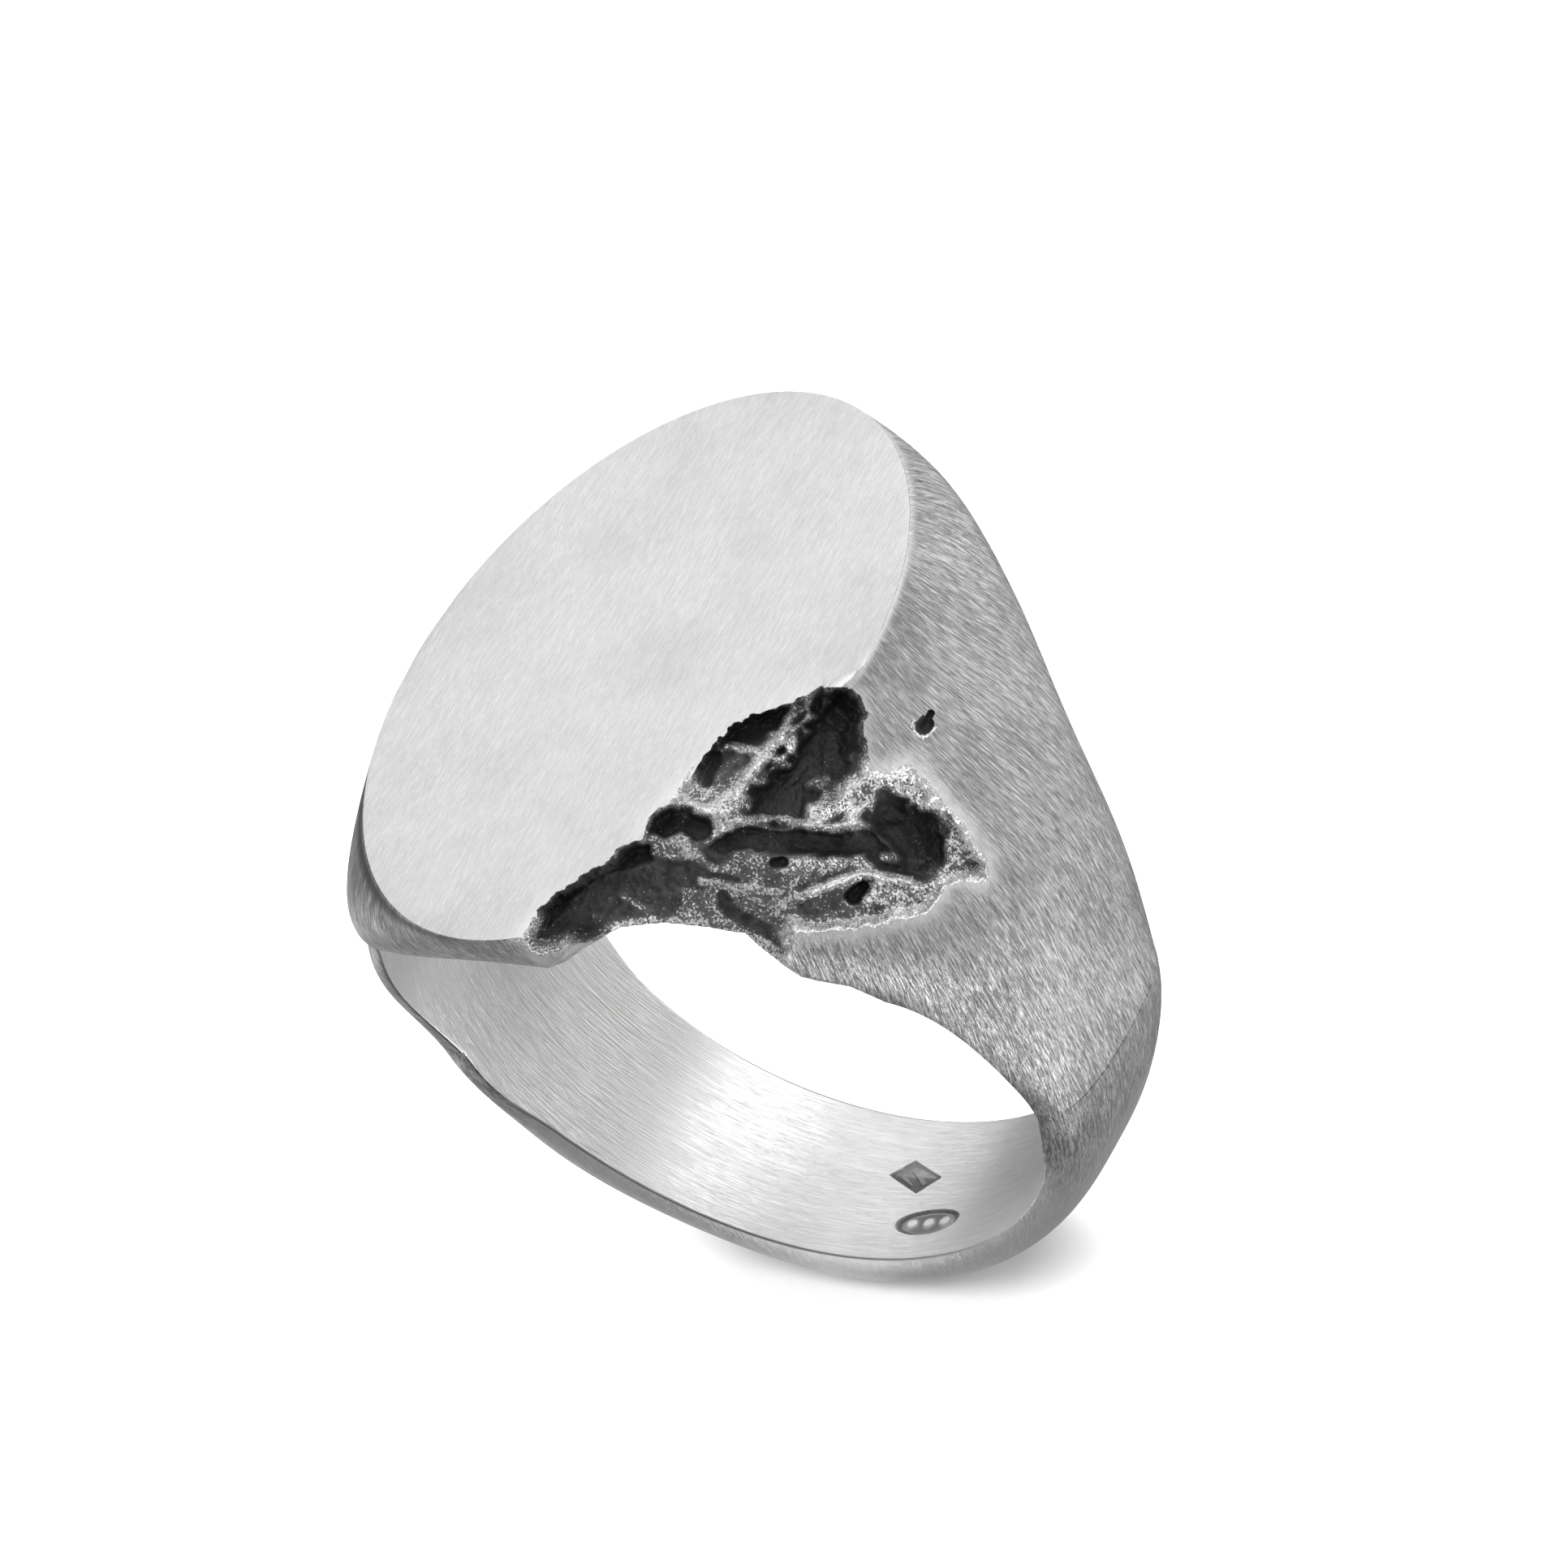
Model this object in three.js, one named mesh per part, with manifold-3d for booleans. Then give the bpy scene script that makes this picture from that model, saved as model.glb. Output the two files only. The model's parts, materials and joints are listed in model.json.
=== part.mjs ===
// A silver signet ring: a cast head with a flat oval table, a shank that closes the band, and the
// two silver-solder joints between them. One corner of the head is deeply bitten away.
// Millimetres, +Z up through the table, +Y along the finger. The origin lies under the shank,
// where the standing ring touches the ground.

import * as THREE from 'three';
import { mergeVertices } from 'three/addons/utils/BufferGeometryUtils.js';
import Module from 'manifold-3d';

const wasm = await Module();
wasm.setup();

// Driving dimensions
const boreRadius = 9.5;
const shankThickness = 1.85; // metal under the middle of the finger
const seamThickness = 1.25; // metal at the solder joints
const shankHalfWidth = 2.67; // half the band's width under the finger
const shankFlare = 4.8; // how strongly the band widens up to the head
const swellAngle = 27; // how far the thick bottom of the band reaches, in degrees
const leftSwell = 0.34; // extra metal half way up the left of the band
const leftSwellAngle = -52;
const leftSwellReach = 18;
const bottomFullness = 4; // squareness of the band's section under the finger
const jointFullness = 2.46; // and at the solder joints
const tableRise = 11.38; // table above the centre of the bore
const tableHalfWidth = 6.94; // across the finger
const tableHalfLength = 10.53; // along the finger
const seamAngle = 79; // degrees from the bottom of the shank up to each solder joint
const solderThickness = 0.16;
const touchGap = 0.02; // clearance between soldered faces
const markDepth = 0.3;
const reach = 30; // cutters go this far, well past the metal

// Horizontal sections of the head, from below the solder joints up to the table: half width
// across the finger, half length along it, and squareness of the section's sides. The left of the
// head is a little heavier and squarer than the right
const rightSections = [
    { rise: -3.2, halfWidth: 10.5, halfLength: 3.3, power: 30 },
    { rise: -2.0, halfWidth: 10.54, halfLength: 3.45, power: 30 },
    { rise: 1.5, halfWidth: 10.42, halfLength: 4.8, power: 17 },
    { rise: 4.5, halfWidth: 10.05, halfLength: 5.85, power: 10.5 },
    { rise: 7.5, halfWidth: 8.68, halfLength: 8.1, power: 7.3 },
    { rise: 9.6, halfWidth: 7.6, halfLength: 9.67, power: 4.6 },
    { rise: tableRise, halfWidth: tableHalfWidth, halfLength: tableHalfLength, power: 2 },
];
const leftSections = [
    { rise: -3.2, halfWidth: 10.75, halfLength: 3.2, power: 36 },
    { rise: -2.0, halfWidth: 10.8, halfLength: 3.35, power: 36 },
    { rise: 1.5, halfWidth: 10.72, halfLength: 4.45, power: 34 },
    { rise: 4.5, halfWidth: 10.15, halfLength: 5.75, power: 12.5 },
    ...rightSections.slice(4),
];

// Rounded bites out of the head's corner: centre from the middle of the bore, radii and a turn
const bites = {
    wall: { at: [4.7, -9.9, 9.4], radii: [2.9, 3.3, 3.0], turn: -20 },
    corner: { at: [6.3, -8.0, 9.9], radii: [2.5, 2.8, 2.2], turn: 35 },
    tableEdge: { at: [6.2, -4.2, 11.3], radii: [1.9, 3.3, 1.9], turn: 10 },
    topEnd: { at: [6.4, -1.9, 11.3], radii: [1.3, 1.7, 1.5], turn: 30 },
    shoulderPit: { at: [8.9, -2.5, 7.9], radii: [1.0, 1.3, 1.3], turn: 0 },
    trench: { at: [7.5, -4.6, 9.2], radii: [1.5, 2.1, 1.5], turn: 20 },
};

// Punched marks inside the band: degrees from its bottom, shift along the finger, half sizes round
// the band and along the finger, and the number of sides
const marks = {
    lozenge: { angle: 4, shift: 0.48, halfLength: 0.9, halfWidth: 0.62, sides: 4 },
    oval: { angle: 12, shift: -1.25, halfLength: 1.2, halfWidth: 0.5, sides: 20 },
};

// Facets of the round shapes
const headSides = 112;
const headRings = 18;
const boreSides = 128;
const bandSides = 96;
const bandProfileSteps = 12;
const biteDetail = 4;

const silver = { color: 0xc9c9c8, roughness: 0.42, metalness: 1 };
const solder = { color: 0xb9b8b4, roughness: 0.5, metalness: 1 };

const radians = THREE.MathUtils.degToRad;

// A copy of a geometry whose faces share their corners
function welded(geometry) {
    const bare = geometry.clone();
    for (const name of Object.keys(bare.attributes)) {
        if (name !== 'position') bare.deleteAttribute(name);
    }
    return mergeVertices(bare, 1e-5);
}

function toManifold(geometry) {
    const merged = welded(geometry);
    const mesh = new wasm.Mesh({
        numProp: 3,
        vertProperties: new Float32Array(merged.attributes.position.array),
        triVerts: new Uint32Array(merged.index.array),
    });
    return new wasm.Manifold(mesh);
}

function toGeometry(solid) {
    const mesh = solid.getMesh();
    const geometry = new THREE.BufferGeometry();
    geometry.setAttribute('position', new THREE.BufferAttribute(mesh.vertProperties, 3));
    geometry.setIndex(new THREE.BufferAttribute(mesh.triVerts, 1));
    geometry.computeVertexNormals();
    return geometry;
}

// A number raised to a power, keeping its sign; rounding noise around zero stays zero
function signedPower(value, power) {
    return Math.abs(value) < 1e-9 ? 0 : Math.sign(value) * Math.abs(value) ** power;
}

function sectionCurves(sections) {
    const sizes = sections.map((s) => new THREE.Vector3(s.halfWidth, s.halfLength, s.rise));
    const powers = sections.map((s) => new THREE.Vector3(s.power, 0, s.rise));
    return {
        flank: new THREE.CatmullRomCurve3(sizes),
        squareness: new THREE.CatmullRomCurve3(powers),
    };
}

// A closed cylinder turned to stand along Z, whose rings are moved to the sections of the head
function headBlank() {
    const left = sectionCurves(leftSections);
    const right = sectionCurves(rightSections);
    const geometry = welded(new THREE.CylinderGeometry(1, 1, 1, headSides, headRings));
    geometry.rotateX(Math.PI / 2);
    const position = geometry.attributes.position;
    for (let i = 0; i < position.count; i += 1) {
        const along = position.getZ(i) + 0.5;
        const cosine = position.getX(i);
        const side = cosine < 0 ? left : right;
        const size = side.flank.getPoint(along);
        const power = side.squareness.getPoint(along).x;
        const sine = position.getY(i);
        const x = size.x * signedPower(cosine, 2 / power);
        position.setXYZ(i, x, size.y * sine, size.z);
    }
    return toManifold(geometry);
}

function bore() {
    const cutter = new THREE.CylinderGeometry(boreRadius, boreRadius, reach, boreSides);
    return toManifold(cutter);
}

// A smooth hill of height 1 around an angle
function hill(angle, centre, width) {
    return Math.exp(-(((angle - centre) / width) ** 2));
}

// Metal thickness of the band at an angle from its bottom, in degrees
function bandThickness(angle) {
    const bottomSwell = (shankThickness - seamThickness) * hill(angle, 0, swellAngle);
    return seamThickness + bottomSwell + leftSwell * hill(angle, leftSwellAngle, leftSwellReach);
}

function bandHalfWidth(angle) {
    return shankHalfWidth + shankFlare * Math.sin(radians(angle / 2)) ** 4;
}

// The whole band as one turned ring, whose section changes around the finger. The shank and the
// solder joints are cut from it
function bandRing() {
    const crownPower = 2.5; // roundness of the band's outer corners
    const profile = [];
    for (let i = 0; i <= bandProfileSteps; i += 1) {
        const turn = (Math.PI * i) / bandProfileSteps;
        profile.push(new THREE.Vector2(1 + Math.sin(turn), -Math.cos(turn)));
    }
    profile.push(profile[0].clone());
    const geometry = welded(new THREE.LatheGeometry(profile, bandSides));
    const position = geometry.attributes.position;
    for (let i = 0; i < position.count; i += 1) {
        const x = position.getX(i);
        const y = position.getY(i);
        const z = position.getZ(i);
        const rise = Math.hypot(x, z) - 1;
        const angle = THREE.MathUtils.radToDeg(Math.atan2(x, -z));
        const bent = Math.min(Math.abs(angle) / seamAngle, 1.3);
        const fullness = bottomFullness - (bottomFullness - jointFullness) * bent ** 2;
        const taper = rise < 1e-6 ? 1 : (1 - rise ** crownPower) ** (1 / fullness);
        const radius = boreRadius + bandThickness(angle) * rise;
        const halfWidth = bandHalfWidth(THREE.MathUtils.clamp(angle, -110, 110)) * taper;
        const width = Math.abs(y) < 1e-6 ? 0 : Math.sign(y) * halfWidth;
        position.setXYZ(i, radius * Math.sin(radians(angle)), width, -radius * Math.cos(radians(angle)));
    }
    return toManifold(geometry).subtract(bore());
}

// Everything between two angles from the bottom of the band, as a wedge along the finger
function wedge(fromAngle, toAngle) {
    const shape = new THREE.Shape();
    shape.moveTo(0, 0);
    const steps = Math.max(1, Math.ceil((toAngle - fromAngle) / 60));
    for (let i = 0; i <= steps; i += 1) {
        const angle = radians(fromAngle + ((toAngle - fromAngle) * i) / steps);
        shape.lineTo(reach * Math.sin(angle), -reach * Math.cos(angle));
    }
    const geometry = new THREE.ExtrudeGeometry(shape, { depth: reach, bevelEnabled: false });
    geometry.translate(0, 0, -reach / 2);
    geometry.rotateX(Math.PI / 2);
    return toManifold(geometry);
}

function biteCutter(bite) {
    const geometry = new THREE.IcosahedronGeometry(1, biteDetail);
    geometry.scale(...bite.radii);
    geometry.rotateZ(radians(bite.turn));
    geometry.translate(...bite.at);
    return toManifold(geometry);
}

function signetHead() {
    const start = seamAngle + THREE.MathUtils.radToDeg(solderThickness / boreRadius);
    let solid = headBlank().subtract(bore());
    solid = solid.intersect(wedge(start, 360 - start));
    for (const bite of Object.values(bites)) {
        solid = solid.subtract(biteCutter(bite));
    }
    return solid;
}

// A punched mark: a shallow cone with few sides makes the lozenge, with many sides the oval
function markCutter(mark) {
    const geometry = new THREE.ConeGeometry(1, 1, mark.sides);
    geometry.rotateX(-Math.PI / 2);
    geometry.scale(mark.halfLength * 2, mark.halfWidth * 2, markDepth * 2);
    geometry.translate(0, mark.shift, -boreRadius);
    geometry.rotateY(radians(-mark.angle));
    return toManifold(geometry);
}

function shank() {
    let solid = bandRing().intersect(wedge(-seamAngle, seamAngle));
    for (const mark of Object.values(marks)) {
        solid = solid.subtract(markCutter(mark));
    }
    return solid;
}

function solderSeam(side) {
    const start = seamAngle + THREE.MathUtils.radToDeg(touchGap / boreRadius);
    const end = seamAngle + THREE.MathUtils.radToDeg((solderThickness - touchGap) / boreRadius);
    const slab = side > 0 ? wedge(start, end) : wedge(-end, -start);
    return bandRing().intersect(slab);
}

const ring = new THREE.Group();

function addPiece(name, solid, finish) {
    const mesh = new THREE.Mesh(toGeometry(solid), new THREE.MeshStandardMaterial(finish));
    mesh.name = name;
    mesh.position.z = boreRadius + shankThickness;
    ring.add(mesh);
}

addPiece('signet_head', signetHead(), silver);
addPiece('shank', shank(), silver);
addPiece('solder_seam_left', solderSeam(-1), solder);
addPiece('solder_seam_right', solderSeam(1), solder);

export default ring;
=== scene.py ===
import json
import math

import bmesh
import bpy
import numpy as np
from mathutils import Matrix, Vector
from mathutils.bvhtree import BVHTree


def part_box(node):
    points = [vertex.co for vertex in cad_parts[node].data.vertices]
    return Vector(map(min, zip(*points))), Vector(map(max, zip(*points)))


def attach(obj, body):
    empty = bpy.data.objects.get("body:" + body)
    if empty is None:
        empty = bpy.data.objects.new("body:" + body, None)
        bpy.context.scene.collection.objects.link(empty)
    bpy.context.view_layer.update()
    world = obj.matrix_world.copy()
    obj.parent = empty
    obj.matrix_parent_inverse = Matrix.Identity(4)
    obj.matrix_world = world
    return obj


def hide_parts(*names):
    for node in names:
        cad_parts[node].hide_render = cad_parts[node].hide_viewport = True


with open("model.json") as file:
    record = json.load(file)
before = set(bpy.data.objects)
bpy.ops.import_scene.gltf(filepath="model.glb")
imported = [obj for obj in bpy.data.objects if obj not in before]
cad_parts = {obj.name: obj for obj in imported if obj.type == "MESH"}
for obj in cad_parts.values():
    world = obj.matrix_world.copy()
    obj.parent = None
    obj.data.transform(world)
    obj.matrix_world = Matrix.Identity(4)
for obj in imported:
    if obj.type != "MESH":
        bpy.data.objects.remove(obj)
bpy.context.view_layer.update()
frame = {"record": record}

mm = 0.001

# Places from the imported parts, in millimetres
headHigh = np.array(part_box("signet_head")[1]) / mm
shankLow = np.array(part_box("shank")[0]) / mm
openingBox = np.array(frame["record"]["physics"]["openings"][0]["box_m"]) / mm
boreHeight = float(openingBox[:, 2].mean())        # the bore's centre above the ground
tableRise = float(headHigh[2]) - boreHeight        # the table above the bore's centre
print("frame loaded: bore centre", round(boreHeight, 2), "mm up, table", round(tableRise, 2), "mm above it")

# The side from which the ring is looked at. The bite's face looks the same way
facing = {
    "azimuth": 42.943,
    "elevation": 38.966,
    "roll": 25.184,               # the ring leans clockwise in the view
    "distance": 303.05,
    "lens": 252.38,
    "aimRight": 0.191,            # where the view's middle passes the bore's centre
    "aimUp": 4.667,
}


def facingAxes():
    # right, up and towards the viewer
    azimuth, elevation, roll = (math.radians(facing[k]) for k in ("azimuth", "elevation", "roll"))
    flatRight = np.array([math.cos(azimuth), math.sin(azimuth), 0.0])
    back = np.array([math.sin(azimuth) * math.cos(elevation), -math.cos(azimuth) * math.cos(elevation),
                     math.sin(elevation)])
    flatUp = np.cross(back, flatRight)
    right = math.cos(roll) * flatRight - math.sin(roll) * flatUp
    up = math.cos(roll) * flatUp + math.sin(roll) * flatRight
    return right, up, back


faceRight, faceUp, faceBack = facingAxes()


def placeObject(name, data):
    made = bpy.data.objects.new(name, data)
    bpy.context.scene.collection.objects.link(made)
    return made


def makeCamera():
    centre = np.array([0.0, 0.0, boreHeight])
    place = (centre + faceRight * facing["aimRight"] + faceUp * facing["aimUp"]
             + faceBack * facing["distance"]) * mm
    camera = placeObject("camera", bpy.data.cameras.new("camera"))
    camera.data.lens = facing["lens"]
    camera.data.sensor_width = 36.0
    camera.data.clip_start = 0.01
    turn = Matrix((faceRight, faceUp, faceBack)).transposed().to_4x4()
    camera.matrix_world = Matrix.Translation(Vector(place)) @ turn
    bpy.context.scene.camera = camera


makeCamera()

# The shapes of the metal are in millimetres about the bore's centre, with angles from the bottom

band = {
    "boreRadius": 9.5,            # half the finger size
    "shankThickness": 1.85,       # metal under the finger
    "seamThickness": 1.22,        # metal half way up each side
    "swellReach": 27.0,           # how far the thick bottom reaches, in degrees
    "leftSwell": 0.34,            # extra metal on the left, and the degrees that it is at
    "leftSwellAngle": -52.0,
    "leftSwellReach": 18.0,
    "shankHalfWidth": 2.67,
    "flare": 4.8,                 # how strongly it widens up to the head
    "bottomFullness": 4.0,        # squareness of the section under the finger
    "sideFullness": 2.46,         # and at the joints
    "leftFullness": 6.0,          # squareness added on the left
    "leftFullnessAngle": -50.0,
    "leftFullnessReach": 25.0,
    "crownPower": 2.5,            # roundness of the outside across the band
    "blendFrom": 0.72,            # where the section starts to turn into the head's
    "seamAngle": 79.0,            # degrees up from the bottom to each solder joint
    "solderWidth": 0.16,
    "edgeRadius": 0.07,           # softened bore edges
}

head = {
    "tableHalfWidth": 6.94,
    "tableHalfLength": float(headHigh[1]),
    "rimRadius": 0.09,            # softened edge of the table
    "crestLimit": 14.0,           # radius that lies outside the head at every angle
    # sections from below the joints up to the table: height above the bore's centre, half width,
    # half length and squareness of the sides
    "rises": [-3.2, -2.0, 1.5, 4.5, 7.5, 9.6, tableRise],
    "halfWidths": [10.5, 10.54, 10.42, 10.05, 8.68, 7.6, 6.94],
    "halfLengths": [3.3, 3.45, 4.8, 5.85, 8.1, 9.67, float(headHigh[1])],
    "squareness": [30, 30, 17, 10.5, 7.3, 4.6, 2],
    # the same on the left, which is a little heavier and squarer
    "leftHalfWidths": [10.75, 10.8, 10.72, 10.15, 8.68, 7.6, 6.94],
    "leftHalfLengths": [3.2, 3.35, 4.45, 5.75, 8.1, 9.67, float(headHigh[1])],
    "leftSquareness": [36, 36, 34, 12.5, 7.3, 4.6, 2],
}


def throughKnots(knots, values, at):
    # a smooth curve through the knots
    knots, values, at = np.asarray(knots, float), np.asarray(values, float), np.asarray(at, float)
    slopes = np.gradient(values, knots)
    i = np.clip(np.searchsorted(knots, at) - 1, 0, len(knots) - 2)
    width = knots[i + 1] - knots[i]
    t = np.clip((at - knots[i]) / width, 0, 1)
    return ((2 * t**3 - 3 * t**2 + 1) * values[i] + (t**3 - 2 * t**2 + t) * width * slopes[i]
            + (3 * t**2 - 2 * t**3) * values[i + 1] + (t**3 - t**2) * width * slopes[i + 1])


def smoothStep(low, high, value):
    t = np.clip((value - low) / (high - low), 0, 1)
    return t * t * (3 - 2 * t)


def hill(at, centre, reach):
    return np.exp(-(((at - centre) / reach) ** 2))


def headSection(what, leftWhat, angle, z):
    right = throughKnots(head["rises"], head[what], z)
    left = throughKnots(head["rises"], head[leftWhat], z)
    return np.where(np.sin(angle) < 0, left, right)


def headHalfLength(angle, radius):
    # half length of the head along the finger, at an angle round the bore and a radius from it
    x = np.abs(radius * np.sin(angle))
    z = -radius * np.cos(angle)
    halfWidth = headSection("halfWidths", "leftHalfWidths", angle, z)
    halfLength = headSection("halfLengths", "leftHalfLengths", angle, z)
    power = headSection("squareness", "leftSquareness", angle, z)
    return halfLength * np.sqrt(np.clip(1 - (x / halfWidth) ** power, 0, 1))


def headTopRadius(angle):
    # radius at which the head ends: its table, or the crest of its shoulder
    low = np.full_like(angle, band["boreRadius"] + 0.3)
    high = np.full_like(angle, head["crestLimit"])
    for _ in range(50):
        middle = (low + high) / 2
        x, z = np.abs(middle * np.sin(angle)), -middle * np.cos(angle)
        outside = (x > headSection("halfWidths", "leftHalfWidths", angle, z)) | (z > tableRise)
        high = np.where(outside, middle, high)
        low = np.where(outside, low, middle)
    return (low + high) / 2


def bandThickness(degrees):
    swell = (band["shankThickness"] - band["seamThickness"]) * hill(degrees, 0, band["swellReach"])
    leftSwell = band["leftSwell"] * hill(degrees, band["leftSwellAngle"], band["leftSwellReach"])
    return band["seamThickness"] + swell + leftSwell


def bandHalfWidth(degrees):
    return band["shankHalfWidth"] + band["flare"] * np.sin(np.radians(degrees / 2)) ** 4


def roundedCorner(before, corner, after, reach, count):
    # points of a small round between two straight stretches; every array is (columns, 2)
    first, last = before - corner, after - corner
    firstLength = np.linalg.norm(first, axis=1)[:, None]
    lastLength = np.linalg.norm(last, axis=1)[:, None]
    cut = np.minimum(reach, 0.45 * np.minimum(firstLength, lastLength))
    start = corner + first / np.maximum(firstLength, 1e-9) * cut
    end = corner + last / np.maximum(lastLength, 1e-9) * cut
    steps = np.linspace(0, 1, count)
    return [(1 - t) ** 2 * start + 2 * t * (1 - t) * corner + t * t * end for t in steps]


def faceOutwards(mesh):
    bmesh.ops.recalc_face_normals(mesh, faces=mesh.faces)
    if mesh.calc_volume(signed=True) < 0:
        bmesh.ops.reverse_faces(mesh, faces=mesh.faces)


def closedBand(name, angles, halfOutlines):
    # a band of metal: for each angle a half outline of (radius, length along the finger), from the
    # middle of the bore over the near edge to the middle of the outside; the far half mirrors it
    count, rows = halfOutlines.shape[:2]
    mirrored = halfOutlines[:, ::-1][:, 1:-1] * [1, -1]
    outline = np.concatenate([halfOutlines, mirrored], axis=1)
    full = outline.shape[1]
    radius, y = outline[..., 0], outline[..., 1]
    sine, cosine = np.sin(angles)[:, None], np.cos(angles)[:, None]
    points = np.stack([radius * sine, y, boreHeight - radius * cosine], axis=-1).reshape(-1, 3)
    mesh = bmesh.new()
    verts = [mesh.verts.new(p) for p in points.tolist()]
    for i in range(count - 1):
        for j in range(full):
            k = (j + 1) % full
            corners = (i * full + j, i * full + k, (i + 1) * full + k, (i + 1) * full + j)
            mesh.faces.new([verts[c] for c in corners])
    mesh.faces.new([verts[j] for j in range(full)][::-1])
    mesh.faces.new([verts[(count - 1) * full + j] for j in range(full)])
    bmesh.ops.remove_doubles(mesh, verts=mesh.verts, dist=1e-4)
    bmesh.ops.dissolve_degenerate(mesh, edges=mesh.edges, dist=1e-5)
    faceOutwards(mesh)
    data = bpy.data.meshes.new(name)
    mesh.to_mesh(data)
    mesh.free()
    return placeObject(name, data)


def halfOutline(boreY, outside, top, table, reach):
    # joins the bore, the outside from the bore's edge to the top, and the table, with rounded corners
    columns = len(boreY)
    radius = band["boreRadius"]
    boreEdge = np.stack([np.full(columns, radius), -boreY], axis=1)
    boreMiddle = np.stack([np.full(columns, radius), np.zeros(columns)], axis=1)
    points = [boreMiddle + (boreEdge - boreMiddle) * t for t in np.linspace(0, 0.97, 12)]
    points += roundedCorner(boreMiddle, boreEdge, outside[2], band["edgeRadius"], 4)
    points += outside[3:-1]
    if table is None:
        points.append(top)
    else:
        points += roundedCorner(outside[-3], top, table, reach, 5)
        points += [top + (table - top) * t for t in np.linspace(0.08, 1, 10)]
    return np.stack(points, axis=1)


def makeHeadBlank():
    start = band["seamAngle"] + math.degrees(band["solderWidth"] / band["boreRadius"])
    angles = np.radians(np.linspace(start, 360 - start, 421))
    topRadius = headTopRadius(angles)
    onTable = -topRadius * np.cos(angles) > tableRise - 1e-4
    boreY = headHalfLength(angles, np.full_like(angles, band["boreRadius"]))
    outside = []
    for t in np.linspace(0, 1, 46):
        radius = band["boreRadius"] + (topRadius - band["boreRadius"]) * math.sin(t * math.pi / 2)
        outside.append(np.stack([radius, -headHalfLength(angles, radius)], axis=1))
    x = topRadius * np.sin(angles)
    rimY = head["tableHalfLength"] * np.sqrt(np.clip(1 - (x / head["tableHalfWidth"]) ** 2, 0, 1))
    rimY = np.where(onTable, rimY, 0)
    top = np.stack([topRadius, -rimY], axis=1)
    table = np.stack([topRadius, np.zeros_like(angles)], axis=1)
    return closedBand("headBlank", angles, halfOutline(boreY, outside, top, table, head["rimRadius"]))


def seamShape(degrees, rise):
    # thickness of the head at the joint on each angle's side, and its half width at that rise
    seamAngle = np.radians(np.where(degrees < 0, -band["seamAngle"], band["seamAngle"]))
    top = headTopRadius(seamAngle)
    radius = band["boreRadius"] + (top - band["boreRadius"]) * rise
    return top - band["boreRadius"], headHalfLength(seamAngle, radius)


def bandSection(degrees, rise):
    # half width over the bore's half width, at a fraction of the thickness
    bent = np.clip(np.abs(degrees) / band["seamAngle"], 0, 1)
    fullness = band["bottomFullness"] - (band["bottomFullness"] - band["sideFullness"]) * bent**2
    fullness += band["leftFullness"] * hill(degrees, band["leftFullnessAngle"], band["leftFullnessReach"])
    side = np.clip(1 - rise ** band["crownPower"], 0, 1) ** (1 / fullness)
    seamSide = seamShape(degrees, rise)[1] / seamShape(degrees, 0)[1]
    blend = smoothStep(band["blendFrom"], 1.0, bent)
    return side * (1 - blend) + seamSide * blend


def makeBandPiece(name, fromAngle, toAngle, columns):
    degrees = np.linspace(fromAngle, toAngle, columns)
    angles = np.radians(degrees)
    seamTop, seamBore = seamShape(degrees, 0)
    blend = smoothStep(band["blendFrom"], 1.0, np.abs(degrees) / band["seamAngle"])
    thickness = bandThickness(degrees) * (1 - blend) + seamTop * blend
    width = bandHalfWidth(degrees) * (1 - blend) + seamBore * blend
    outside = []
    for t in np.linspace(0, 1, 30):
        rise = math.sin(t * math.pi / 2)
        side = bandSection(degrees, rise)
        outside.append(np.stack([band["boreRadius"] + thickness * rise, -width * side], axis=1))
    top = np.stack([band["boreRadius"] + thickness, np.zeros(columns)], axis=1)
    return closedBand(name, angles, halfOutline(width, outside, top, None, 0))


# The bite out of the head's corner is laid out on a plane that faces the viewer: right and up from
# the bore's centre, in millimetres. Heights are measured from that plane towards the viewer

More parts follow.
